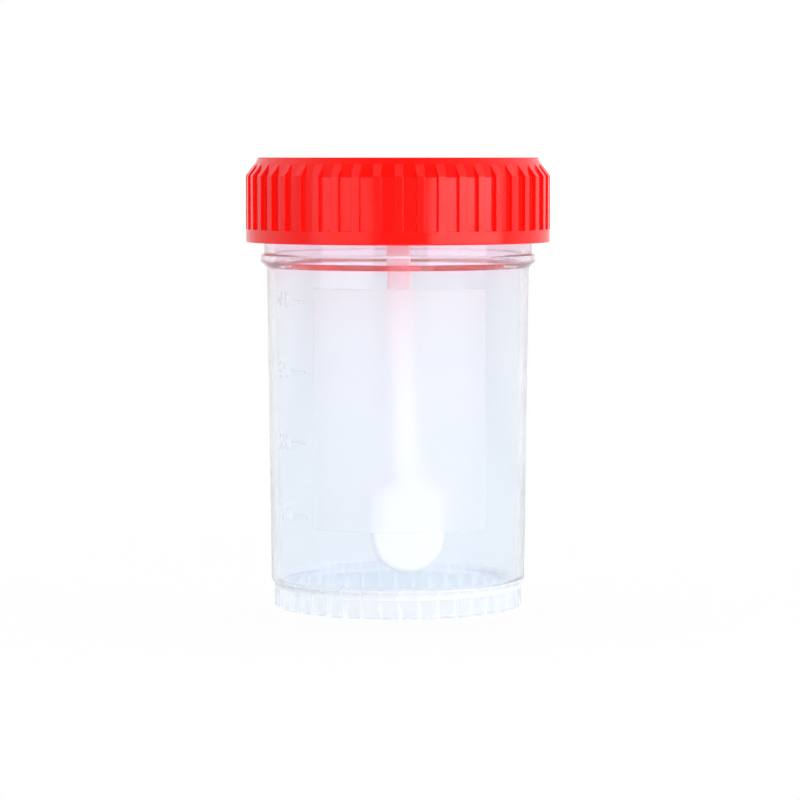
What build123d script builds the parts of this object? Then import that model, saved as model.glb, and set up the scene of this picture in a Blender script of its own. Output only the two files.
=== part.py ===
from build123d import *
import os
from math import pi, radians, tan

# Specimen container: a clear moulded jar with an open foot, a ribbed screw cap, and a spoon
# whose plug snaps into a socket under the cap. Millimetres. +Z is up, z = 0 is the surface that
# the foot stands on, the jar's axis is Z, and the writing panel faces -Y.

# ---- Driving dimensions ----------------------------------------------------------------------

# Jar body
JAR_HEIGHT = 63.7            # foot to rim
BODY_TOP_R = 19.0            # outside, at the upper end of the straight taper
WALL = 1.1                   # side wall, measured across the axis
DRAFT_DEG = 0.75             # taper of the side wall, inside and out
FOOT_DEPTH = 2.85            # height of the open space under the floor
FLOOR = 0.6                  # floor thickness
FLOOR_CORNER_R = 1.0         # inside corner between floor and wall

# Foot, a skirt under the floor
FOOT_SET_IN = 0.45           # how far the foot stands inside the body
FOOT_BAND_H = 3.24           # height of the plain outer band
FOOT_STEP_H = 0.66           # height of the slope from the band out to the body
HEEL_R = 0.4                 # rounding of the foot's lower edges, outside
FOOT_WALL = 1.0              # skirt thickness between the ribs
FOOT_RIB_COUNT = 40
FOOT_RIB_W = 0.45
FOOT_RIB_DEPTH = 0.5         # how far a rib stands in from the skirt
FOOT_RIB_LIFT = 0.25         # how far the ribs stop above the foot's lower edge

# Bead and neck
NECK_H = 12.47               # straight neck, from the bead up to the rim
NECK_PROUD = 0.42            # how far the neck stands outside the body's upper end
BEAD_PROUD = 0.88            # how far the bead does
BEAD_TOP_SLOPE_H = 0.29      # from the neck down to the bead
BEAD_H = 0.94                # the bead's straight band
BEAD_SLOPE_H = 0.87          # from the bead down to the body
RIM_ROUND = 0.3              # outer edge of the rim
MOUTH_LEAD = 0.25            # slope at its inner edge

# Writing panel and marks, raised on the outside of the body
PANEL_HALF_W = 12.1
PANEL_ABOVE_FOOT = 8.5       # from the foot's slope up to the panel
PANEL_BELOW_BEAD = 2.58      # from the bead's slope down to the panel
PANEL_PROUD = 0.15
MARK_PROUD = 0.15
MARK_H = 0.35                # height of a graduation line
MARK_W = 3.0                 # its length round the wall
MARK_FROM_FRONT_DEG = 50.0   # the lines' middle, round from the panel's middle to -X
MARK_STEP_ML = 10.0

# Thread, right-handed
THREAD_PITCH = 3.2
THREAD_TURNS = 2.0           # on the neck
CAP_THREAD_TURNS = 1.75
THREAD_TOP_DROP = 2.1        # from the rim down to the upper end of the neck thread's centre line
THREAD_DEPTH = 0.78          # of the neck thread
CAP_THREAD_DEPTH = 0.8
THREAD_CREST_W = 0.7
THREAD_FLANK_DEG = 27.0      # from the plane across the axis
THREAD_GAP = 0.1             # between the flanks that bear on each other
THREAD_ROOT_LAP = 0.25       # how far a thread's root goes into its wall
THREAD_START_DEG = 200.0     # where the neck thread's lower end lies round the axis

# Screw cap
CAP_TOP = 1.2                # plate thickness
CAP_WALL = 0.85              # skirt thickness at a pocket
SKIRT_GAP = 1.57             # neck left bare between the bead and the skirt
RIM_GAP = 0.1                # between the jar's rim and the plate
BORE_CLEARANCE = 0.35        # radial, between the neck thread's crest and the bore
BORE_CORNER = 0.65           # width of the slope between bore and plate
BORE_CORNER_H = 1.2
CAP_TOP_SET_IN = 1.75        # from the skirt's outside in to the plate's upper edge
CAP_BAND_H = 0.9             # sloped band round the plate
CAP_BAND_SET_IN = 1.3        # from the skirt's outside in to the band's lower edge
CAP_CHAMFER_H = 1.7          # from that edge down to the skirt
CAP_HEM_H = 1.88             # plain band at the skirt's lower end
GRIP_COUNT = 45              # ribs, and pockets between them
GRIP_DEPTH = 0.6             # of a pocket
POCKET_FLOOR_W = 1.75
POCKET_MOUTH_W = 2.0
POCKET_SHOULDER_DROP = 0.2   # the pocket's slope starts this much lower than the rib's
GRIP_OFFSET_DEG = 3.3        # first pocket's middle, round from -Y towards +X
SKIRT_EDGE_R = 0.2

# Seal ring and spoon socket under the plate
SEAL_CLEARANCE = 0.05        # radial, between the ring and the jar's mouth
SEAL_WALL = 0.8
SEAL_DEPTH = 2.5
SEAL_LEAD = 0.4              # slope at the ring's lower outer edge
SOCKET_DEPTH = 7.8
SOCKET_WALL = 1.0
SOCKET_FIT = 0.03            # radial, between plug and socket
SNAP_PROUD = 0.12            # bead round the plug, and groove round the socket
SNAP_H = 0.8
SNAP_LIFT = 2.4              # from the plug's lower end up to the bead's middle

# Spoon
PLUG_R = 2.5
PLUG_LENGTH = 6.4
PLUG_END_GAP = 0.2           # above the plug
PLUG_LEAD = 0.3
STEM_W = 3.5
STEM_T = 1.5
STEM_LOW_W = 3.25            # stem width where it meets the bowl
STEM_STRAIGHT = 4.3          # from the plug down to where the stem leans
STEM_EDGE_R = 0.3
LEAN_DEG = 1.9               # lean of the stem and bowl towards +X
SPOON_BOTTOM_GAP = 0.9       # from the floor up to the bowl's tip
BOWL_R = 5.4                 # half the bowl's width, and its round end
BOWL_SIDE_H = 5.9            # straight sides above the round end
BOWL_SHOULDER_H = 4.6        # from the sides' top up to the stem
BOWL_T = 2.6                 # depth, from the rim to the closed front
BOWL_WALL = 0.9              # at the rim
BOWL_FLOOR = 0.8
BOWL_TAPER_DEG = 9.0         # how steeply its sides narrow away from the rim
BOWL_BACK_R = 0.8
STEM_SUNK = 2.5              # how far the stem runs into the bowl's shoulder

# ---- Sizes worked out from them ----------------------------------------------------------------

SLOPE = tan(radians(DRAFT_DEG))
FLOOR_TOP_Z = FOOT_DEPTH + FLOOR
FOOT_TOP_Z = FOOT_BAND_H + FOOT_STEP_H
BEAD_TOP_Z = JAR_HEIGHT - NECK_H - BEAD_TOP_SLOPE_H
BEAD_Z = BEAD_TOP_Z - BEAD_H
BODY_TOP_Z = BEAD_Z - BEAD_SLOPE_H
PANEL_LOW_Z = FOOT_TOP_Z + PANEL_ABOVE_FOOT
PANEL_HIGH_Z = BODY_TOP_Z - PANEL_BELOW_BEAD
NECK_R = BODY_TOP_R + NECK_PROUD
BEAD_R = BODY_TOP_R + BEAD_PROUD
NECK_THREAD_R = NECK_R + THREAD_DEPTH
BORE_R = NECK_THREAD_R + BORE_CLEARANCE
CAP_THREAD_R = BORE_R - CAP_THREAD_DEPTH
THREAD_LOW_Z = JAR_HEIGHT - THREAD_TOP_DROP - THREAD_TURNS * THREAD_PITCH
FLANK = tan(radians(THREAD_FLANK_DEG))
THREAD_OFFSET = THREAD_CREST_W + (NECK_THREAD_R - CAP_THREAD_R) * FLANK + THREAD_GAP
CAP_R = BORE_R + CAP_WALL + GRIP_DEPTH
PLATE_LOW_Z = JAR_HEIGHT + RIM_GAP
CAP_TOP_Z = PLATE_LOW_Z + CAP_TOP
CAP_LOW_Z = JAR_HEIGHT - NECK_H + SKIRT_GAP
SOCKET_R = PLUG_R + SOCKET_FIT
PLUG_TOP_Z = PLATE_LOW_Z - PLUG_END_GAP
PLUG_LOW_Z = PLUG_TOP_Z - PLUG_LENGTH
SNAP_Z = PLUG_LOW_Z + SNAP_LIFT
LEAN_Z = PLUG_LOW_Z - STEM_STRAIGHT
BOWL_TIP_Z = FLOOR_TOP_Z + SPOON_BOTTOM_GAP
BOWL_CENTRE_Z = BOWL_TIP_Z + BOWL_R
BOWL_SIDE_Z = BOWL_CENTRE_Z + BOWL_SIDE_H
BOWL_TOP_Z = BOWL_SIDE_Z + BOWL_SHOULDER_H


def outer_r(z):
    """The body's outside radius at a height."""
    return BODY_TOP_R - (BODY_TOP_Z - z) * SLOPE


def inner_r(z):
    """The jar's inside radius at a height."""
    return outer_r(z) - WALL


FOOT_R = outer_r(FOOT_TOP_Z) - FOOT_SET_IN


# ---- Shared forms ------------------------------------------------------------------------------

ON_BASE = (Align.CENTER, Align.CENTER, Align.MIN)


def turned(points):
    """A solid of revolution about Z from its half section, given as (radius, z) points."""
    outline = Polyline(*[(r, 0, z) for r, z in points], close=True)
    return revolve(make_face(outline), Axis.Z)


def round_edges(solid, z, radius, r=None, near=0.01):
    """Rounds the circular edges at a height, or the one there of radius r."""
    rings = [
        edge
        for edge in solid.edges().filter_by(GeomType.CIRCLE)
        if abs(edge.center(CenterOf.BOUNDING_BOX).Z - z) < near
        and (r is None or abs(edge.radius - r) < near)
    ]
    return fillet(rings, radius)


def spin(shape, degrees_round):
    return Rot(0, 0, degrees_round) * shape


def thread(root_r, crest_r, low_z, turns):
    """A right-handed helical ridge from root_r to crest_r, starting at THREAD_START_DEG."""
    side = 1 if crest_r > root_r else -1
    lapped_r = root_r - side * THREAD_ROOT_LAP
    half_crest = THREAD_CREST_W / 2
    half_root = half_crest + abs(crest_r - lapped_r) * FLANK
    section = make_face(
        Polyline(
            (lapped_r, 0, -half_root),
            (crest_r, 0, -half_crest),
            (crest_r, 0, half_crest),
            (lapped_r, 0, half_root),
            close=True,
        )
    )
    path = Helix(THREAD_PITCH, THREAD_PITCH * turns, root_r)
    ridge = sweep(section, path=path, is_frenet=True)
    return Pos(0, 0, low_z) * spin(ridge, THREAD_START_DEG)


# ---- Jar ---------------------------------------------------------------------------------------

def jar_blank():
    """The jar's outside, with no cavity."""
    blank = turned([
        (0, 0),
        (FOOT_R, 0),
        (FOOT_R, FOOT_BAND_H),
        (outer_r(FOOT_TOP_Z), FOOT_TOP_Z),
        (BODY_TOP_R, BODY_TOP_Z),
        (BEAD_R, BEAD_Z),
        (BEAD_R, BEAD_TOP_Z),
        (NECK_R, BEAD_TOP_Z + BEAD_TOP_SLOPE_H),
        (NECK_R, JAR_HEIGHT),
        (0, JAR_HEIGHT),
    ])
    blank = round_edges(blank, 0, HEEL_R)
    return round_edges(blank, JAR_HEIGHT, RIM_ROUND)


def jar_cavity():
    """The space inside the jar, from the floor out through the mouth."""
    lead_z = JAR_HEIGHT - MOUTH_LEAD
    mouth_r = inner_r(lead_z) + MOUTH_LEAD
    cavity = turned([
        (0, FLOOR_TOP_Z),
        (inner_r(FLOOR_TOP_Z), FLOOR_TOP_Z),
        (inner_r(lead_z), lead_z),
        (mouth_r, JAR_HEIGHT),
        (mouth_r, JAR_HEIGHT + WALL),
        (0, JAR_HEIGHT + WALL),
    ])
    return round_edges(cavity, FLOOR_TOP_Z, FLOOR_CORNER_R)


def foot_recess():
    """The space under the floor, notched by the ribs on the skirt's inside."""
    skirt_r = FOOT_R - FOOT_WALL
    recess = Cylinder(skirt_r, FOOT_DEPTH, align=ON_BASE)
    rib = Pos(0, -skirt_r, FOOT_RIB_LIFT) * Box(
        FOOT_RIB_W, 2 * FOOT_RIB_DEPTH, FOOT_DEPTH - FOOT_RIB_LIFT, align=ON_BASE
    )
    pitch = 360 / FOOT_RIB_COUNT
    return recess - [spin(rib, n * pitch) for n in range(FOOT_RIB_COUNT)]


def raised_field(low_z, high_z, half_width, proud, turn_deg=0):
    """A patch that follows the body's outside, with upright edges, facing -Y before it turns."""
    sunk = WALL / 2
    ring = turned([
        (outer_r(low_z) - sunk, low_z),
        (outer_r(low_z) + proud, low_z),
        (outer_r(high_z) + proud, high_z),
        (outer_r(high_z) - sunk, high_z),
    ])
    window = Pos(0, 0, low_z) * Box(
        2 * half_width,
        2 * BODY_TOP_R,
        high_z - low_z,
        align=(Align.CENTER, Align.MAX, Align.MIN),
    )
    return spin(ring & window, turn_deg)


def level_of(millilitres):
    """The height that a volume fills the jar to: a cone frustum above the floor."""
    volume = millilitres * 1000
    r = inner_r(FLOOR_TOP_Z)
    return FLOOR_TOP_Z + (((3 * volume * SLOPE / pi) + r**3) ** (1 / 3) - r) / SLOPE


def jar_marks():
    """Graduation lines beside the panel, one for each step of volume up to the panel's top."""
    marks = []
    z = level_of(MARK_STEP_ML)
    while z < PANEL_HIGH_Z:
        low_z, high_z = z - MARK_H / 2, z + MARK_H / 2
        marks.append(raised_field(low_z, high_z, MARK_W / 2, MARK_PROUD, -MARK_FROM_FRONT_DEG))
        z = level_of(MARK_STEP_ML * (len(marks) + 1))
    return marks


def jar():
    body = jar_blank() + raised_field(PANEL_LOW_Z, PANEL_HIGH_Z, PANEL_HALF_W, PANEL_PROUD)
    body += jar_marks()
    body += thread(NECK_R, NECK_THREAD_R, THREAD_LOW_Z, THREAD_TURNS)
    return body - jar_cavity() - foot_recess()


# ---- Screw cap ---------------------------------------------------------------------------------

def cap_blank(skirt_r, shoulder_drop):
    """The cap's outside for a skirt of one radius. Rib and pocket end at the same upper edge."""
    band_z = CAP_TOP_Z - CAP_BAND_H
    return turned([
        (0, CAP_LOW_Z),
        (skirt_r, CAP_LOW_Z),
        (skirt_r, band_z - CAP_CHAMFER_H - shoulder_drop),
        (CAP_R - CAP_BAND_SET_IN, band_z),
        (CAP_R - CAP_TOP_SET_IN, CAP_TOP_Z),
        (0, CAP_TOP_Z),
    ])


def grip_pockets():
    """The wedge-sided bars that the pockets between the ribs are cut with."""
    floor_r = CAP_R - GRIP_DEPTH
    flare = (POCKET_MOUTH_W - POCKET_FLOOR_W) / 2 / GRIP_DEPTH
    inside, outside = floor_r - 2, CAP_R + 1
    half_in = POCKET_FLOOR_W / 2
    half_out = POCKET_MOUTH_W / 2 + flare
    low_z = CAP_LOW_Z + CAP_HEM_H
    section = make_face(
        Polyline(
            (-half_in, -inside, low_z),
            (-half_in, -floor_r, low_z),
            (-half_out, -outside, low_z),
            (half_out, -outside, low_z),
            (half_in, -floor_r, low_z),
            (half_in, -inside, low_z),
            close=True,
        )
    )
    bar = extrude(section, amount=CAP_TOP_Z - low_z, dir=(0, 0, 1))
    pitch = 360 / GRIP_COUNT
    return [spin(bar, GRIP_OFFSET_DEG + n * pitch) for n in range(GRIP_COUNT)]


def cap_bore():
    """The space that takes the neck, with a sloped corner under the plate."""
    return turned([
        (0, CAP_LOW_Z - 1),
        (BORE_R, CAP_LOW_Z - 1),
        (BORE_R, PLATE_LOW_Z - BORE_CORNER_H),
        (BORE_R - BORE_CORNER, PLATE_LOW_Z),
        (0, PLATE_LOW_Z),
    ])


def seal_ring():
    """The ring that plugs the jar's mouth."""
    low_z = PLATE_LOW_Z - SEAL_DEPTH
    outer = inner_r(low_z) - SEAL_CLEARANCE
    inner = outer - SEAL_WALL
    root_z = PLATE_LOW_Z + CAP_TOP / 2
    return turned([
        (inner, root_z),
        (inner, low_z),
        (outer - SEAL_LEAD, low_z),
        (outer, low_z + SEAL_LEAD),
        (outer, root_z),
    ])


def snap(radius, grown):
    """The ring section of the snap bead, or of its groove when grown by the fit."""
    half = SNAP_H / 2 + grown
    return turned([
        (0, SNAP_Z - half),
        (radius, SNAP_Z - half),
        (radius + SNAP_PROUD, SNAP_Z),
        (radius, SNAP_Z + half),
        (0, SNAP_Z + half),
    ])


def socket():
    """The tube under the plate that holds the spoon's plug."""
    low_z = PLATE_LOW_Z - SOCKET_DEPTH
    tube = Cylinder(SOCKET_R + SOCKET_WALL, SOCKET_DEPTH + CAP_TOP / 2, align=ON_BASE)
    hole = Cylinder(SOCKET_R, SOCKET_DEPTH, align=ON_BASE)
    return Pos(0, 0, low_z) * (tube - hole) - snap(SOCKET_R, SOCKET_FIT)


def screw_cap():
    ribbed = cap_blank(CAP_R, 0)
    ring = ribbed - cap_blank(CAP_R - GRIP_DEPTH, POCKET_SHOULDER_DROP)
    shell = ribbed - [ring & bar for bar in grip_pockets()]
    shell = round_edges(shell, CAP_LOW_Z, SKIRT_EDGE_R)
    shell -= cap_bore()
    ridge = thread(BORE_R, CAP_THREAD_R, THREAD_LOW_Z - THREAD_OFFSET, CAP_THREAD_TURNS)
    return shell + ridge + seal_ring() + socket()


# ---- Spoon -------------------------------------------------------------------------------------

def plug():
    blank = Pos(0, 0, PLUG_LOW_Z) * Cylinder(PLUG_R, PLUG_LENGTH, align=ON_BASE)
    blank = chamfer(blank.edges().group_by(Axis.Z)[-1], PLUG_LEAD)
    return blank + snap(PLUG_R, 0)


def bowl_section(depth, set_in):
    """The bowl's outline at a depth from its rim, which faces +Y, set in all round."""
    top_z = BOWL_TOP_Z - set_in
    r = BOWL_R - set_in
    neck = (STEM_LOW_W - set_in) / 2
    plane = Plane(origin=(0, BOWL_T / 2 - depth, 0), x_dir=(-1, 0, 0), z_dir=(0, 1, 0))
    with BuildSketch(plane) as drawn:
        with BuildLine():
            tip = CenterArc((0, BOWL_CENTRE_Z), r, 180, 180)
            right = Line(tip @ 1, (r, BOWL_SIDE_Z))
            shoulder = Bezier(
                right @ 1, (r, BOWL_SIDE_Z + r / 3), (neck, top_z - r / 2), (neck, top_z)
            )
            across = Line(shoulder @ 1, (-neck, top_z))
            left = Bezier(
                across @ 1, (-neck, top_z - r / 2), (-r, BOWL_SIDE_Z + r / 3), (-r, BOWL_SIDE_Z)
            )
            Line(left @ 1, tip @ 0)
        make_face()
    return drawn.sketch.face()


def bowl_form(depth, set_in):
    """A solid with the bowl's outline that narrows from its rim to a depth."""
    narrowing = depth * tan(radians(BOWL_TAPER_DEG))
    return loft([bowl_section(0, set_in), bowl_section(depth, set_in + narrowing)], ruled=True)


def leaned(shape):
    """The shape leaned over towards +X about the lower end of the stem's straight length."""
    return Pos(0, 0, LEAN_Z) * Rot(0, -LEAN_DEG, 0) * Pos(0, 0, -LEAN_Z) * shape


def stem():
    """The flat stem, straight under the plug and then leaning, down into the bowl's shoulder."""
    low_z = BOWL_TOP_Z - STEM_SUNK
    low_x = (LEAN_Z - low_z) * tan(radians(LEAN_DEG))
    top_z = PLUG_LOW_Z + STEM_EDGE_R
    front = make_face(
        Polyline(
            (low_x - STEM_LOW_W / 2, -STEM_T / 2, low_z),
            (low_x + STEM_LOW_W / 2, -STEM_T / 2, low_z),
            (STEM_W / 2, -STEM_T / 2, LEAN_Z),
            (STEM_W / 2, -STEM_T / 2, top_z),
            (-STEM_W / 2, -STEM_T / 2, top_z),
            (-STEM_W / 2, -STEM_T / 2, LEAN_Z),
            close=True,
        )
    )
    blank = extrude(front, amount=STEM_T, dir=(0, 1, 0))
    crosswise = blank.edges().filter_by(Axis.Y) + blank.edges().filter_by(Axis.X)
    return fillet([edge for edge in blank.edges() if edge not in crosswise], STEM_EDGE_R)


def spoon():
    scoop = bowl_form(BOWL_T, 0)
    scoop = fillet(scoop.faces().sort_by(Axis.Y)[0].edges(), BOWL_BACK_R)
    hollow = bowl_form(BOWL_T - BOWL_FLOOR, BOWL_WALL)
    return plug() + stem() + leaned(scoop) - leaned(hollow)


def write(node, solid):
    export_step(solid, f"parts/{node}.step")
    print(f"{node}: {len(solid.solids())} solid, {solid.volume:.1f} mm3")


os.makedirs("parts", exist_ok=True)
write("jar", jar())
write("screw_cap", screw_cap())
write("spoon", spoon())
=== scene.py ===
# %% [markdown]
# # A specimen container: clear jar, red screw cap, white spoon
# The object is three mouldings. The jar is thin clear plastic with a frosted field to write on,
# the cap is opaque red plastic with ribs to grip, and the spoon hangs from the cap inside the jar.
# The shapes come ready made from the CAD model, so most of the work here is on how plastic takes
# light: what goes through it, what it mirrors, and what its mould left on its surface.

# %% Load the frame
from math import cos, pi, radians, sin, tan

import bmesh
import bpy
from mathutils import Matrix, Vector


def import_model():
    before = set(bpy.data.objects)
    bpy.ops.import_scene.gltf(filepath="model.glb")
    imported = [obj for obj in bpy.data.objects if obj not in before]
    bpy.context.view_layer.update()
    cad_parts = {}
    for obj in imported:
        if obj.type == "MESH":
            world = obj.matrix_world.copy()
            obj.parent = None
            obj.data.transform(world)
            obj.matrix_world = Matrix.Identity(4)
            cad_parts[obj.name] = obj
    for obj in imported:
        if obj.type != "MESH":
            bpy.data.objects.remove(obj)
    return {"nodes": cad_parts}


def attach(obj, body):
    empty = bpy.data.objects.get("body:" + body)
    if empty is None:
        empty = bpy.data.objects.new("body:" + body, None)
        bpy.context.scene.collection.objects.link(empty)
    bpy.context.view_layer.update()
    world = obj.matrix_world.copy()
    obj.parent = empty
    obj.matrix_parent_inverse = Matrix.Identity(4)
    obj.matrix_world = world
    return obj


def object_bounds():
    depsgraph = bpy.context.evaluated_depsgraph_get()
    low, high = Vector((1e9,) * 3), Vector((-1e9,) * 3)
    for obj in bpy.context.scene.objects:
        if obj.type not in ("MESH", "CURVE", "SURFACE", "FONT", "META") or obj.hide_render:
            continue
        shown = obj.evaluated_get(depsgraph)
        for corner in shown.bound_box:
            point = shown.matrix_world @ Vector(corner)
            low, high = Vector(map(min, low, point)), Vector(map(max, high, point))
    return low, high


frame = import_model()
cad_low, cad_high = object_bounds()
MM = 0.001
print("nodes:", sorted(frame["nodes"]))
print("whole object, mm:", [round(v / MM, 2) for v in cad_high - cad_low])

# %% [markdown]
# ## Node trees in a few lines
# A material is a small graph. Typing `nodes.new` and `links.new` for each box and wire hides what
# the graph does, so the first of these helpers makes a node with its settings and inputs in one
# call. An input is given either a plain value or the socket that feeds it. The others use it for
# the few kinds of node that every material here needs.

# %% Helpers for node trees
def add_node(tree, kind, inputs=None, **settings):
    """A node of this kind, with its settings, and each input a value or a socket that feeds it."""
    node = tree.nodes.new(kind)
    for name, value in settings.items():
        setattr(node, name, value)
    for key, value in (inputs or {}).items():
        if isinstance(value, bpy.types.NodeSocket):
            tree.links.new(value, node.inputs[key])
        else:
            node.inputs[key].default_value = value
    return node


def maths(tree, operation, *values):
    """The result of a Math node on up to three values or sockets."""
    inputs = dict(enumerate(values))
    return add_node(tree, "ShaderNodeMath", inputs, operation=operation).outputs[0]


def colour_mix(tree, share, first, second):
    """The first colour where share is 0 and the second where it is 1."""
    inputs = {"Factor": share, "A": first, "B": second}
    return add_node(tree, "ShaderNodeMix", inputs, data_type="RGBA").outputs["Result"]


def shader_mix(tree, share, first, second):
    """The first shader where share is 0 and the second where it is 1."""
    return add_node(tree, "ShaderNodeMixShader", {0: share, 1: first, 2: second}).outputs[0]


def for_lamps(tree, seen, passed_by_lamps):
    """One shader for what is seen, and another for the rays that look for a lamp."""
    searching = tree.nodes.new("ShaderNodeLightPath").outputs["Is Shadow Ray"]
    return shader_mix(tree, searching, seen, passed_by_lamps)


def film(tree, colour):
    """Lets light straight through and tints it."""
    return add_node(tree, "ShaderNodeBsdfTransparent", {"Color": colour}).outputs[0]


def new_material(name):
    """An empty node material, its tree and its output node."""
    material = bpy.data.materials.new(name)
    material.use_nodes = True
    material.node_tree.nodes.clear()
    return material, material.node_tree, material.node_tree.nodes.new("ShaderNodeOutputMaterial")


# %% [markdown]
# ## What every moulding shares
# Plastic that was injected into a steel mould is never quite flat. It sinks a little as it cools,
# which shows as slow waves in a reflection, and it copies the fine texture of the steel. A bump
# from two noises, one wide and one fine, gives both. All three pieces need it at their own
# strength, so it is one node group with named inputs. It puts out a height and a mask, never a
# shader, so that each material stays in charge of its own surface.

# %% Shared surface of a moulding
PATCH_SIZE = 90.0                     # patches in a metre, as the other sizes are
WEAR_LIMIT, WEAR_SOFTNESS = 0.7, 0.1  # the most that a patch is worn, and how softly it stops there


def moulded_surface():
    """A group: Height of waves and grain, and Wear, a mask of handled and clean patches."""
    tree = bpy.data.node_groups.new("Moulded surface", "ShaderNodeTree")
    for name, start in (("Wave size", 120.0), ("Grain size", 4000.0), ("Grain share", 0.2)):
        socket = tree.interface.new_socket(name, in_out="INPUT", socket_type="NodeSocketFloat")
        socket.default_value = start
    for name in ("Height", "Wear"):
        tree.interface.new_socket(name, in_out="OUTPUT", socket_type="NodeSocketFloat")
    given = tree.nodes.new("NodeGroupInput")
    result = tree.nodes.new("NodeGroupOutput")
    place = add_node(tree, "ShaderNodeTexCoord").outputs["Object"]

    def noise(scale, detail):
        inputs = {"Vector": place, "Scale": scale, "Detail": detail}
        return add_node(tree, "ShaderNodeTexNoise", inputs).outputs["Fac"]

    waves = noise(given.outputs["Wave size"], detail=1.0)
    grain = noise(given.outputs["Grain size"], detail=2.0)
    grain_height = maths(tree, "MULTIPLY", grain, given.outputs["Grain share"])
    height = maths(tree, "ADD", waves, grain_height)
    patches = noise(PATCH_SIZE, detail=4.0)
    wear = maths(tree, "SMOOTH_MIN", patches, WEAR_LIMIT, WEAR_SOFTNESS)
    tree.links.new(height, result.inputs["Height"])
    tree.links.new(wear, result.inputs["Wear"])
    return tree


MOULDED = moulded_surface()


def moulding(tree, wave_size, grain_size, grain_share):
    """The group placed in a material, with that material's own values."""
    inputs = {"Wave size": wave_size, "Grain size": grain_size, "Grain share": grain_share}
    group = tree.nodes.new("ShaderNodeGroup")
    group.node_tree = MOULDED
    for name, value in inputs.items():
        group.inputs[name].default_value = value
    return group


def bump(tree, surface, strength, depth, normal=None):
    """The group's height as a bump, on top of another normal if one is given."""
    inputs = {"Height": surface.outputs["Height"], "Strength": strength, "Distance": depth}
    if normal is not None:
        inputs["Normal"] = normal
    return add_node(tree, "ShaderNodeBump", inputs).outputs["Normal"]


def spread(tree, mask, low, high):
    """Turns a mask from 0 to 1 into a range of values."""
    inputs = {"Value": mask, "To Min": low, "To Max": high}
    return add_node(tree, "ShaderNodeMapRange", inputs).outputs[0]


print("shared group:", MOULDED.name)

# %% [markdown]
# ## Red cap plastic
# The cap is polyethylene with a strong red pigment. Its surface is smooth but soft, so it mirrors
# the lamps as pale patches with soft ends. The pigment stops green and blue at once, but red light
# gets through the thin walls, which is why the neck and the spoon just under a red cap look pink.
# On the jar's neck part of that pink is painted light, a pink tint given to the clear plastic.
# Subsurface scattering shows that only on the piece the eye meets first, so here the rays that
# look for the lamps pass the cap as if it were red glass. No mould has knife edges either: a Bevel
# node rounds each edge by a tenth of a millimetre in the shading, and leaves the mesh alone. The
# top plate was moulded against blasted steel, so it is matt.

# %% Make the cap's material
RED = (0.94, 0.0075, 0.0040, 1)
RED_DEEP = (0.88, 0.0050, 0.0030, 1)
RED_LIGHT = (0.95, 0.05, 0.10, 1)     # of what the cap lets through
CAP_ROUGHNESS = (0.12, 0.19)          # from clean to handled
CAP_TOP_ROUGHNESS = 0.5
CAP_TOP_Z = cad_high.z - 0.1 * MM


def cap_material():
    material, tree, out = new_material("red cap plastic")
    surface = moulding(tree, wave_size=160.0, grain_size=5200.0, grain_share=0.25)
    red = colour_mix(tree, surface.outputs["Wear"], RED, RED_DEEP)
    edges = add_node(tree, "ShaderNodeBevel", {"Radius": 0.14 * MM}, samples=4)
    place = add_node(tree, "ShaderNodeTexCoord").outputs["Object"]
    height = add_node(tree, "ShaderNodeSeparateXYZ", {"Vector": place}).outputs["Z"]
    on_top = maths(tree, "GREATER_THAN", height, CAP_TOP_Z)
    side = spread(tree, surface.outputs["Wear"], *CAP_ROUGHNESS)
    roughness = add_node(tree, "ShaderNodeMix", {"Factor": on_top, "A": side, "B": CAP_TOP_ROUGHNESS})
    shader = add_node(tree, "ShaderNodeBsdfPrincipled", {
        "Base Color": red,
        "Roughness": roughness.outputs["Result"],
        "Normal": bump(tree, surface, strength=0.12, depth=0.4 * MM, normal=edges.outputs["Normal"]),
        "IOR": 1.5,
        "Specular IOR Level": 0.38,
    })
    seen = for_lamps(tree, shader.outputs[0], film(tree, RED_LIGHT))
    tree.links.new(seen, out.inputs["Surface"])
    return material


print("the cap's plastic is matt above, mm:", round(CAP_TOP_Z / MM, 2))

# %% [markdown]
# ## White spoon plastic
# The spoon is white polystyrene. Light that enters it spreads a few millimetres before it leaves,
# so its thin edges and the far side of its bowl look almost as bright as its flat front. That is
# what Subsurface does: the scale is the distance that light travels inside.

# %% Make the spoon's material
WHITE = (0.93, 0.91, 0.905, 1)
WHITE_WORN = (0.90, 0.88, 0.875, 1)
SPOON_ROUGHNESS = (0.32, 0.45)        # from clean to handled
LIGHT_TRAVELS = 3.0 * MM


def spoon_material():
    material, tree, out = new_material("white spoon plastic")
    surface = moulding(tree, wave_size=200.0, grain_size=6000.0, grain_share=0.2)
    white = colour_mix(tree, surface.outputs["Wear"], WHITE, WHITE_WORN)
    shader = add_node(tree, "ShaderNodeBsdfPrincipled", {
        "Base Color": white,
        "Roughness": spread(tree, surface.outputs["Wear"], *SPOON_ROUGHNESS),
        "Normal": bump(tree, surface, strength=0.1, depth=0.3 * MM),
        "IOR": 1.55,
        "Subsurface Weight": 1.0,
        "Subsurface Radius": (1.0, 1.0, 1.0),
        "Subsurface Scale": LIGHT_TRAVELS,
    })
    tree.links.new(shader.outputs[0], out.inputs["Surface"])
    return material


print("light travels in the spoon, mm:", LIGHT_TRAVELS / MM)
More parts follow.
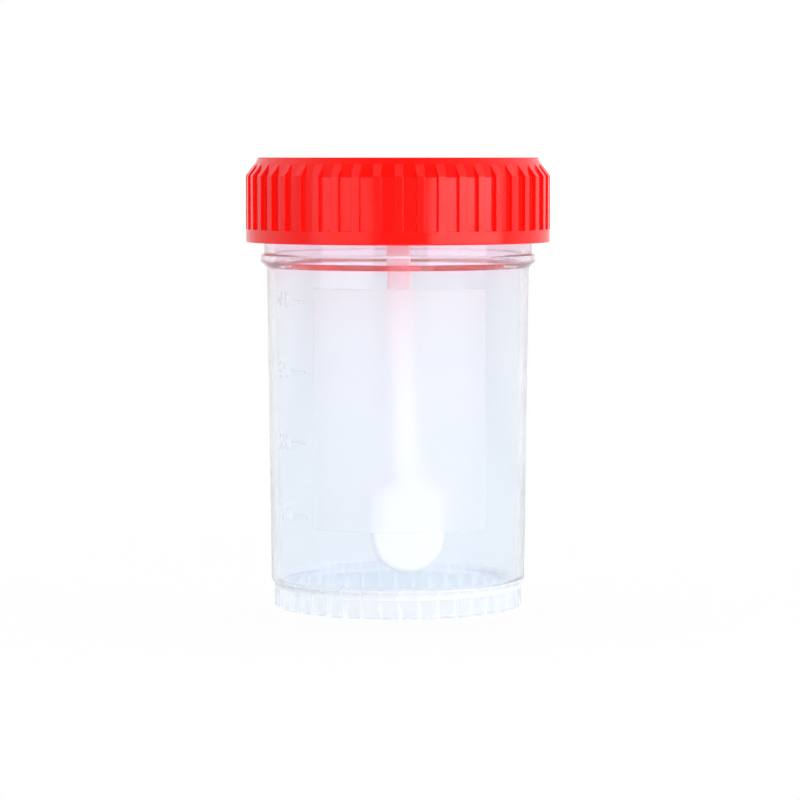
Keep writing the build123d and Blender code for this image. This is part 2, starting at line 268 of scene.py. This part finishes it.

# %% [markdown]
# ## Clear jar plastic
# Polypropylene is clear but a little milky, because tiny crystals in it scatter some light. So the
# jar is two surfaces mixed: clear plastic that bends light, and milk, which is matt and takes light
# from its own side and, by a Translucent shader, from the far side. A mask says how much milk shows:
#
# - a tenth all over, and a little more on the writing field, which was moulded against sandblasted
#   steel, so that it is also rough, blurs what is behind it and mirrors nothing;
# - more at edges, where light meets more plastic. A Bevel node gives the normal that a rounded edge
#   would have, and wherever that leaves the true normal there is an edge;
# - more on the skirt under the floor, and most on the thin ribs inside it;
# - a thin line on the skirt's outer face in front of each rib, a painted highlight for the light
#   that the rib scatters.
#
# The masks come from the jar's own coordinates, so the next cell names the places on it.

# %% Places on the jar
FIELD_HALF_W = 12.1 * MM
FIELD_LOW, FIELD_HIGH = 12.4 * MM, 46.55 * MM
WALL_TAPER = tan(radians(0.75))
WALL_TOP_R, WALL_TOP_Z = 19.0 * MM, 49.13 * MM
HALF_WALL = 0.5 * MM                  # enough to tell the wall's outer face from its inner one
BEAD_SLOPE_LOW, BEAD_SLOPE_HIGH = 49.2 * MM, 49.95 * MM
NECK_LOW = 48.3 * MM                  # from here up the clear plastic has a painted pink tint for the red cap's light
SKIRT_FADE_LOW, SKIRT_FADE_HIGH = 3.6 * MM, 4.6 * MM
SKIRT_IN_R, SKIRT_OUT_R = 16.2 * MM, 17.6 * MM
STEP_LOW, STEP_HIGH = 2.7 * MM, 4.1 * MM
STEP_R = 17.7 * MM
FLOOR_LOW, FLOOR_HIGH = 2.8 * MM, 3.5 * MM
FLOOR_R = 16.8 * MM
RIB_COUNT = 40
RIB_LOW, RIB_HIGH = 0.15 * MM, 2.8 * MM
RIB_FOOT_R = 16.93 * MM               # the ribs stand in from the skirt at this radius
PAINTED_HIGHLIGHT_HALF = 0.05                  # half of each painted highlight line in front of a rib, as a share of the pitch


def wall_radius(height):
    """Outer radius of the tapered wall at this height."""
    return WALL_TOP_R - (WALL_TOP_Z - height) * WALL_TAPER


print("wall radius at the foot, mm:", round(wall_radius(0) / MM, 2))

# %% [markdown]
# ## Masks
# A mask is a number from 0 to 1 that a few Math nodes work out at each point: is the height within
# a range, is the distance from the axis past a radius. Two masks multiplied are 1 only where both
# are. This needs no picture and no seam, and it is as sharp as the edges of the mesh.

# %% Masks of the jar's places
EDGE_ROUNDING = 0.3 * MM
EDGE_STARTS, EDGE_FULL = 0.98, 0.80   # how far the rounded normal agrees with the true one
EDGE_MILK = 0.8


def inside_range(tree, value, low, high):
    """1 where the value lies between low and high, else 0."""
    above = maths(tree, "GREATER_THAN", value, low)
    below = maths(tree, "LESS_THAN", value, high)
    return maths(tree, "MULTIPLY", above, below)


def both_of(tree, first, second):
    """1 where both masks are 1."""
    return maths(tree, "MULTIPLY", first, second)


def jar_place(tree):
    """The jar's own coordinates, the way out from its axis, and the distance from it."""
    place = add_node(tree, "ShaderNodeTexCoord").outputs["Object"]
    axes = add_node(tree, "ShaderNodeSeparateXYZ", {"Vector": place}).outputs
    out = add_node(tree, "ShaderNodeCombineXYZ", {"X": axes["X"], "Y": axes["Y"]}).outputs[0]
    radius = add_node(tree, "ShaderNodeVectorMath", {0: out}, operation="LENGTH").outputs["Value"]
    return axes, out, radius


def field_mask(tree, axes, radius):
    """1 on the writing field's outer face, which stands just proud of the body."""
    across = inside_range(tree, axes["X"], -FIELD_HALF_W, FIELD_HALF_W)
    upward = inside_range(tree, axes["Z"], FIELD_LOW, FIELD_HIGH)
    middle_of_wall = maths(tree, "MULTIPLY_ADD", axes["Z"], WALL_TAPER, wall_radius(0) - HALF_WALL)
    outside = maths(tree, "GREATER_THAN", radius, middle_of_wall)
    front = maths(tree, "LESS_THAN", axes["Y"], 0.0)
    return both_of(tree, both_of(tree, across, upward), both_of(tree, outside, front))


def skirt_mask(tree, axes, radius):
    """1 on the skirt under the floor, fading out where it meets the body."""
    low = add_node(tree, "ShaderNodeMapRange", {
        "Value": axes["Z"], "From Min": SKIRT_FADE_LOW, "From Max": SKIRT_FADE_HIGH,
        "To Min": 1.0, "To Max": 0.0,
    }).outputs[0]
    return both_of(tree, low, maths(tree, "GREATER_THAN", radius, SKIRT_IN_R))


def painted_rib_highlights(tree, axes):
    """1 on a thin upright line in front of each rib: a painted highlight for the light it scatters."""
    around = maths(tree, "ARCTAN2", axes["X"], axes["Y"])
    count = maths(tree, "MULTIPLY", around, RIB_COUNT / (2 * pi))
    off_rib = maths(tree, "PINGPONG", count, 0.5)
    return maths(tree, "LESS_THAN", off_rib, PAINTED_HIGHLIGHT_HALF)


def edge_mask(tree, true_normal):
    """Rises from 0 on a face to EDGE_MILK at its edges."""
    rounded = add_node(tree, "ShaderNodeBevel", {"Radius": EDGE_ROUNDING}, samples=4).outputs["Normal"]
    agree = add_node(tree, "ShaderNodeVectorMath", {0: rounded, 1: true_normal},
                     operation="DOT_PRODUCT").outputs["Value"]
    return add_node(tree, "ShaderNodeMapRange", {
        "Value": agree, "From Min": EDGE_STARTS, "From Max": EDGE_FULL,
        "To Min": 0.0, "To Max": EDGE_MILK,
    }).outputs[0]


print("ribs under the floor:", RIB_COUNT, "one each", 360 / RIB_COUNT, "degrees")

# %% [markdown]
# ## The jar's two surfaces
# The step from the skirt out to the body faces down, so it would look dark, though on a real jar
# light comes to it along the whole width of the floor. There the milk is given a level normal,
# turned to the side that the eye is on.
#
# A path tracer can't aim a bent ray at a lamp, so clear plastic would shut the lamps out. The rays
# that look for a lamp therefore pass the jar as if it were a pale film. The floor is a flat sheet,
# which shifts what is seen through it by less than its thickness, so most of it is a plain film too.

# %% Colours of the jar, and how much milk shows
WALL_TINT = (0.88, 0.925, 0.965, 1)
SKIRT_TINT = (0.84, 0.91, 0.955, 1)
# painted light: pink tint of the neck's clear plastic, standing in for the red cap's light in it
NECK_PAINTED_PINK = (0.91, 0.885, 0.97, 1)
MILK = (0.88, 0.91, 0.945, 1)
SKIRT_MILK = (0.90, 0.92, 0.95, 1)
FLOOR_FILM = (0.93, 0.96, 0.985, 1)
LAMP_FILM = (0.975, 0.985, 0.995, 1)  # of what the jar lets through to the spoon and the ground
JAR_ROUGHNESS = (0.03, 0.08)          # from clean to handled
FIELD_ROUGHNESS = 0.34
FLOOR_FILM_SHARE = 0.7
FAR_SIDE_SHARE = 0.5                  # how much of the milk's light comes from behind it

# How much milk shows: a share all over, and what each place adds to it
MILK_ALL_OVER = 0.10
MILK_BEAD_SLOPE = -0.07               # the cap's red is seen clearly there
MILK_FIELD = 0.11
MILK_SKIRT = 0.16
# painted highlight: milk on a line in front of each rib stands in for the light the rib scatters
MILK_PAINTED_RIB_HIGHLIGHT = 0.25
MILK_STEP = 0.30
MILK_RIB = 0.80
print("milk all over and on the writing field:", MILK_ALL_OVER, MILK_ALL_OVER + MILK_FIELD)

# %% The level normal, and the clear part

def level_normal(tree, out, true_normal):
    """A level normal, out from the axis or in, whichever side the true normal is on."""
    level = add_node(tree, "ShaderNodeVectorMath", {0: out}, operation="NORMALIZE").outputs[0]
    level = add_node(tree, "ShaderNodeVectorTransform", {"Vector": level}, vector_type="NORMAL",
                     convert_from="OBJECT", convert_to="WORLD").outputs[0]
    facing = add_node(tree, "ShaderNodeVectorMath", {0: level, 1: true_normal},
                      operation="DOT_PRODUCT").outputs["Value"]
    inputs = {0: level, "Scale": maths(tree, "SIGN", facing)}
    return add_node(tree, "ShaderNodeVectorMath", inputs, operation="SCALE").outputs[0]


def clear_plastic(tree, frosted, skirt, axes):
    """The part of the jar's look that bends light, rough only on the writing field, and with painted
    pink on the neck for the red cap's light.
    """
    surface = moulding(tree, wave_size=110.0, grain_size=3000.0, grain_share=0.0)
    gloss = spread(tree, surface.outputs["Wear"], *JAR_ROUGHNESS)
    roughness = add_node(tree, "ShaderNodeMix", {"Factor": frosted, "A": gloss, "B": FIELD_ROUGHNESS})
    # painted light: above NECK_LOW the clear plastic takes a pink tint for the red cap's light
    painted_pink = maths(tree, "GREATER_THAN", axes["Z"], NECK_LOW)
    tint = colour_mix(tree, painted_pink, colour_mix(tree, skirt, WALL_TINT, SKIRT_TINT), NECK_PAINTED_PINK)
    return add_node(tree, "ShaderNodeBsdfPrincipled", {
        "Base Color": tint,
        "Roughness": roughness.outputs["Result"],
        "Normal": bump(tree, surface, strength=0.05, depth=0.3 * MM),
        "IOR": 1.49,
        "Transmission Weight": 1.0,
    }).outputs[0]


# %% Make the jar's material
def jar_material():
    """Clear plastic and milk, mixed by the masks, and plain films for the lamps and the floor."""
    material, tree, out = new_material("clear jar plastic")
    axes, outward, radius = jar_place(tree)
    true_normal = add_node(tree, "ShaderNodeNewGeometry").outputs["Normal"]
    frosted = field_mask(tree, axes, radius)
    skirt = skirt_mask(tree, axes, radius)
    outer_skirt = both_of(tree, skirt, maths(tree, "GREATER_THAN", radius, SKIRT_OUT_R))
    outer_step = both_of(tree, inside_range(tree, axes["Z"], STEP_LOW, STEP_HIGH),
                         maths(tree, "GREATER_THAN", radius, STEP_R))
    on_ribs = both_of(tree, inside_range(tree, axes["Z"], RIB_LOW, RIB_HIGH),
                      maths(tree, "LESS_THAN", radius, RIB_FOOT_R))
    bead_slope = inside_range(tree, axes["Z"], BEAD_SLOPE_LOW, BEAD_SLOPE_HIGH)

    milky = maths(tree, "ADD", edge_mask(tree, true_normal), MILK_ALL_OVER)
    for mask, more in (
        (bead_slope, MILK_BEAD_SLOPE),
        (frosted, MILK_FIELD),
        (outer_skirt, MILK_SKIRT),
        # painted highlight lines on the outer skirt, in front of the ribs
        (both_of(tree, outer_skirt, painted_rib_highlights(tree, axes)), MILK_PAINTED_RIB_HIGHLIGHT),
        (outer_step, MILK_STEP),
        (on_ribs, MILK_RIB),
    ):
        milky = maths(tree, "MULTIPLY_ADD", mask, more, milky)

    # Sockets 4 and 5 and output 1 are the Mix node's vectors, as its other types share their names.
    normal = add_node(tree, "ShaderNodeMix", {
        "Factor": outer_step, 4: true_normal, 5: level_normal(tree, outward, true_normal),
    }, data_type="VECTOR").outputs[1]
    whiter = maths(tree, "MAXIMUM", outer_skirt, on_ribs)
    colour = colour_mix(tree, whiter, MILK, SKIRT_MILK)
    near_side = add_node(tree, "ShaderNodeBsdfDiffuse", {"Color": colour, "Normal": normal})
    far_side = add_node(tree, "ShaderNodeBsdfTranslucent", {"Color": colour})
    far_share = maths(tree, "MULTIPLY_ADD", outer_step, -FAR_SIDE_SHARE, FAR_SIDE_SHARE)
    milk = shader_mix(tree, far_share, near_side.outputs[0], far_side.outputs[0])

    plastic = shader_mix(tree, milky, clear_plastic(tree, frosted, skirt, axes), milk)
    floor_sheet = both_of(tree, inside_range(tree, axes["Z"], FLOOR_LOW, FLOOR_HIGH),
                          maths(tree, "LESS_THAN", radius, FLOOR_R))
    see_through = maths(tree, "MULTIPLY", floor_sheet, FLOOR_FILM_SHARE)
    plastic = shader_mix(tree, see_through, plastic, film(tree, FLOOR_FILM))
    seen = for_lamps(tree, plastic, film(tree, LAMP_FILM))
    tree.links.new(seen, out.inputs["Surface"])
    return material


# %% [markdown]
# ## Dressing the pieces
# A node of the CAD model comes with one material slot. Its plastic goes into that slot, and the
# mesh is left as it is.

# %% Dress the three mouldings
def dress(node, material):
    """Gives a node of the CAD model its material."""
    frame["nodes"][node].material_slots[0].material = material
    print(node, "is", material.name)


dress("screw_cap", cap_material())
dress("spoon", spoon_material())
dress("jar", jar_material())

# %% [markdown]
# ## Raised figures
# Beside each line on the wall stands the volume below it, cut into the mould and so raised on the
# jar. A text object gives the outline and its thickness, and becomes a mesh before it is placed.
# A flat figure would stand off the round wall at its ends, so each point is laid round the cone:
# its sideways distance becomes an angle, and its depth a distance from the axis.

# %% Make the figures
LINE_HEIGHTS = {"10": 14.0, "20": 24.4, "30": 34.6, "40": 44.7}  # of the lines on the wall, mm
FIGURE_HEIGHT = 2.3 * MM
FIGURE_PROUD = 0.15 * MM
FIGURE_SUNK = 0.05 * MM
FIGURE_AZIMUTH = radians(-61.0)
CAPITAL_SHARE = 0.70                  # height of a figure as a share of the font's size
SAME_POINT = 1e-7                     # points nearer than this are merged
CURVE_STEPS = 3                       # points along each bend of a figure
FIGURE_CLEAR_SHARE = 0.70             # how much of what is behind a figure shows
FIGURE_FILM = (0.99, 0.995, 1.0, 1)
FIGURE_MILK = (0.92, 0.945, 0.97, 1)
FIGURE_MILK_WORN = (0.88, 0.915, 0.95, 1)


def raised_figure(text, height, material):
    """One number laid round the wall, its middle at the height of its line."""
    curve = bpy.data.curves.new("text", "FONT")
    curve.body = text
    curve.align_x, curve.align_y = "CENTER", "CENTER"
    curve.size = FIGURE_HEIGHT / CAPITAL_SHARE
    curve.extrude = (FIGURE_PROUD + FIGURE_SUNK) / 2
    curve.resolution_u = CURVE_STEPS
    source = bpy.data.objects.new("text", curve)
    shape = bmesh.new()
    shape.from_mesh(source.to_mesh())
    bmesh.ops.remove_doubles(shape, verts=shape.verts, dist=SAME_POINT)
    for vert in shape.verts:
        side, up, out = vert.co
        radius = wall_radius(height + up) + out + (FIGURE_PROUD - FIGURE_SUNK) / 2
        azimuth = FIGURE_AZIMUTH + side / wall_radius(height)
        vert.co = (radius * sin(azimuth), -radius * cos(azimuth), height + up)
    bmesh.ops.recalc_face_normals(shape, faces=shape.faces)
    mesh = bpy.data.meshes.new("figure_" + text)
    shape.to_mesh(mesh)
    shape.free()
    bpy.data.objects.remove(source)
    mesh.materials.append(material)
    figure = bpy.data.objects.new("figure_" + text, mesh)
    bpy.context.scene.collection.objects.link(figure)
    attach(figure, "jar")
    print(figure.name, "has", len(mesh.polygons), "faces")
    return figure


def figure_material():
    """The jar's plastic with more milk, as a figure has many small edges."""
    material, tree, out = new_material("raised figure plastic")
    surface = moulding(tree, wave_size=110.0, grain_size=3000.0, grain_share=0.1)
    tint = colour_mix(tree, surface.outputs["Wear"], FIGURE_MILK, FIGURE_MILK_WORN)
    milk = add_node(tree, "ShaderNodeBsdfDiffuse", {"Color": tint}).outputs[0]
    mixed = shader_mix(tree, FIGURE_CLEAR_SHARE, milk, film(tree, FIGURE_FILM))
    tree.links.new(mixed, out.inputs["Surface"])
    return material


FIGURES = figure_material()
for number, line in LINE_HEIGHTS.items():
    raised_figure(number, line * MM, FIGURES)

# %% [markdown]
# ## Studio
# Clear plastic is made visible by what stands round it. The floor is white, and the far side of
# the room is as white as the floor, so the jar is seen against one even ground. The near side of
# the room is dim, so that what the cap mirrors is left to the lamps. The floor and the room are
# white only to the eye and to what it sees through the jar: a Light Path node tells those rays
# from the ones that carry light to a matt surface.

# %% Kinds of ray, and places in the room
FAR_WHITE = 0.95                      # brightness of the far side of the room


def ray_share(tree, names):
    """1 for a ray of any of these kinds."""
    path = tree.nodes.new("ShaderNodeLightPath")
    total = path.outputs[names[0]]
    for name in names[1:]:
        total = maths(tree, "MAXIMUM", total, path.outputs[name])
    return total


def straight_from_eye(tree, names):
    """The same, but 0 once the path has left a matt surface, so that only the lamps light those."""
    path = tree.nodes.new("ShaderNodeLightPath")
    first = maths(tree, "LESS_THAN", path.outputs["Diffuse Depth"], 0.5)
    return maths(tree, "MULTIPLY", ray_share(tree, names), first)


def by_distance(tree, near, far, at_near, at_far):
    """A value that changes with the distance from the point that the object stands on."""
    place = add_node(tree, "ShaderNodeTexCoord").outputs["Object"]
    away = add_node(tree, "ShaderNodeVectorMath", {0: place}, operation="LENGTH").outputs["Value"]
    return add_node(tree, "ShaderNodeMapRange", {
        "Value": away, "From Min": near, "From Max": far, "To Min": at_near, "To Max": at_far,
    }).outputs[0]


def behind_object(tree):
    """0 in front of the object, rising to FAR_WHITE behind it."""
    place = add_node(tree, "ShaderNodeTexCoord").outputs["Object"]
    far = add_node(tree, "ShaderNodeSeparateXYZ", {"Vector": place}).outputs["Y"]
    return add_node(tree, "ShaderNodeMapRange", {
        "Value": far, "From Min": -0.1, "From Max": 0.2, "To Min": 0.0, "To Max": FAR_WHITE,
    }).outputs[0]


print("far side of the room:", FAR_WHITE)

# %% Floor
FLOOR_SIZE = 2.0
FLOOR_CLOTH = (0.85, 0.85, 0.85, 1)
PLAIN_WHITE = (1, 1, 1, 1)


def floor_material():
    """White, with a little shade close to the object, and dimmer in what the cap mirrors."""
    material, tree, out = new_material("white floor")
    cloth = add_node(tree, "ShaderNodeBsdfDiffuse", {"Color": FLOOR_CLOTH})
    looked_at = straight_from_eye(tree, ["Is Camera Ray", "Is Transmission Ray"])
    shade = by_distance(tree, near=0.04, far=0.14, at_near=0.92, at_far=1.0)
    seen = maths(tree, "MULTIPLY", looked_at, shade)
    mirror = ray_share(tree, ["Is Glossy Ray"])
    share = maths(tree, "MAXIMUM", seen, mirror)
    nearby = by_distance(tree, near=0.15, far=0.40, at_near=0.8, at_far=0.08)
    mirrored = maths(tree, "MULTIPLY", mirror, maths(tree, "MAXIMUM", nearby, behind_object(tree)))
    strength = maths(tree, "MAXIMUM", looked_at, mirrored)
    glow = add_node(tree, "ShaderNodeEmission", {"Color": PLAIN_WHITE, "Strength": strength})
    mixed = shader_mix(tree, share, cloth.outputs[0], glow.outputs[0])
    tree.links.new(mixed, out.inputs["Surface"])
    return material


def floor():
    """A square of ground under the object."""
    shape = bmesh.new()
    bmesh.ops.create_grid(shape, x_segments=1, y_segments=1, size=FLOOR_SIZE / 2)
    mesh = bpy.data.meshes.new("floor")
    shape.to_mesh(mesh)
    shape.free()
    plane = bpy.data.objects.new("floor", mesh)
    bpy.context.scene.collection.objects.link(plane)
    mesh.materials.append(floor_material())
    print("floor, m:", FLOOR_SIZE)


floor()

# %% Room
ROOM_LIGHT = (0.95, 0.97, 1.0, 1)
NEAR_DIM = 0.03                       # brightness of the near side of the room


def world():
    """White behind the object, and a dimmer room for what the plastic mirrors."""
    made = bpy.data.worlds.new("studio")
    made.use_nodes = True
    tree = made.node_tree
    tree.nodes.clear()
    out = tree.nodes.new("ShaderNodeOutputWorld")
    way = add_node(tree, "ShaderNodeTexCoord").outputs["Generated"]
    behind = add_node(tree, "ShaderNodeSeparateXYZ", {"Vector": way}).outputs["Y"]
    strength = add_node(tree, "ShaderNodeMapRange", {
        "Value": behind, "From Min": -0.7, "From Max": 0.2, "To Min": NEAR_DIM, "To Max": FAR_WHITE,
    }).outputs[0]
    room = add_node(tree, "ShaderNodeBackground", {"Color": ROOM_LIGHT, "Strength": strength})
    white = add_node(tree, "ShaderNodeBackground", {"Color": PLAIN_WHITE, "Strength": 1.0})
    seen = straight_from_eye(tree, ["Is Camera Ray", "Is Transmission Ray"])
    mixed = shader_mix(tree, seen, room.outputs[0], white.outputs[0])
    tree.links.new(mixed, out.inputs["Surface"])
    bpy.context.scene.world = made
    print("room from", NEAR_DIM, "near the camera to", FAR_WHITE, "behind the object")


world()

# %% [markdown]
# ## Soft boxes
# A soft box is a lamp behind a white cloth, so it is an area lamp here. Two wide ones stand left
# and right of the camera. The glossy cap mirrors them as pale patches on its ribs, and the gap
# between them leaves its middle a deep red. A third in front and one above only add light: they
# don't show in what the plastic mirrors.

# %% Soft boxes
CENTRE = (cad_low + cad_high) / 2
LAMP_COLOUR = (0.94, 0.965, 1.0)


def soft_box(name, azimuth, distance, width, height, lift, power, mirrored=True):
    """An area lamp turned to face the object. Azimuth 0 is in front of it, where the camera is."""
    data = bpy.data.lights.new(name, "AREA")
    data.shape = "RECTANGLE"
    data.size, data.size_y = width, height
    data.energy = power
    data.color = LAMP_COLOUR
    lamp = bpy.data.objects.new(name, data)
    bpy.context.scene.collection.objects.link(lamp)
    angle = radians(azimuth)
    lamp.location = (distance * sin(angle), -distance * cos(angle), lift)
    toward = CENTRE - lamp.location
    lamp.rotation_euler = toward.to_track_quat("-Z", "Y").to_euler()
    lamp.visible_glossy = mirrored
    print(name, "gives", power, "W")


soft_box("left soft box", azimuth=-44, distance=1.0, width=0.9, height=0.46, lift=0.22, power=1.9)
soft_box("right soft box", azimuth=52, distance=1.0, width=1.1, height=0.46, lift=0.22, power=5.0)
soft_box("fill from the front", azimuth=12, distance=0.8, width=0.6, height=0.4, lift=0.32,
         power=2.9, mirrored=False)
soft_box("top light", azimuth=180, distance=0.1, width=0.7, height=0.7, lift=0.95,
         power=3.0, mirrored=False)

# %% [markdown]
# ## Camera
# A long lens from half a metre away, its height level with the top of the cap: the cap's top is
# seen edge-on, and the eye looks down a little on the foot.

# %% Camera
CAMERA_DISTANCE = 0.5
CAMERA_AZIMUTH = -1.0
AIM = Vector((0.0003, 0.0, 0.0298))
LENS, SENSOR_WIDTH = 155.0, 36.0      # in millimetres, as Blender counts them
NEAREST, FARTHEST = 0.01, 20.0


def camera():
    """The scene's camera, turned to a point just below the object's middle."""
    data = bpy.data.cameras.new("camera")
    data.lens, data.sensor_width = LENS, SENSOR_WIDTH
    data.clip_start, data.clip_end = NEAREST, FARTHEST
    made = bpy.data.objects.new("camera", data)
    bpy.context.scene.collection.objects.link(made)
    angle = radians(CAMERA_AZIMUTH)
    made.location = (CAMERA_DISTANCE * sin(angle), -CAMERA_DISTANCE * cos(angle), cad_high.z)
    made.rotation_euler = (AIM - made.location).to_track_quat("-Z", "Y").to_euler()
    bpy.context.scene.camera = made
    print("camera at, m:", [round(v, 3) for v in made.location])


camera()
bpy.context.scene.view_settings.view_transform = "Standard"
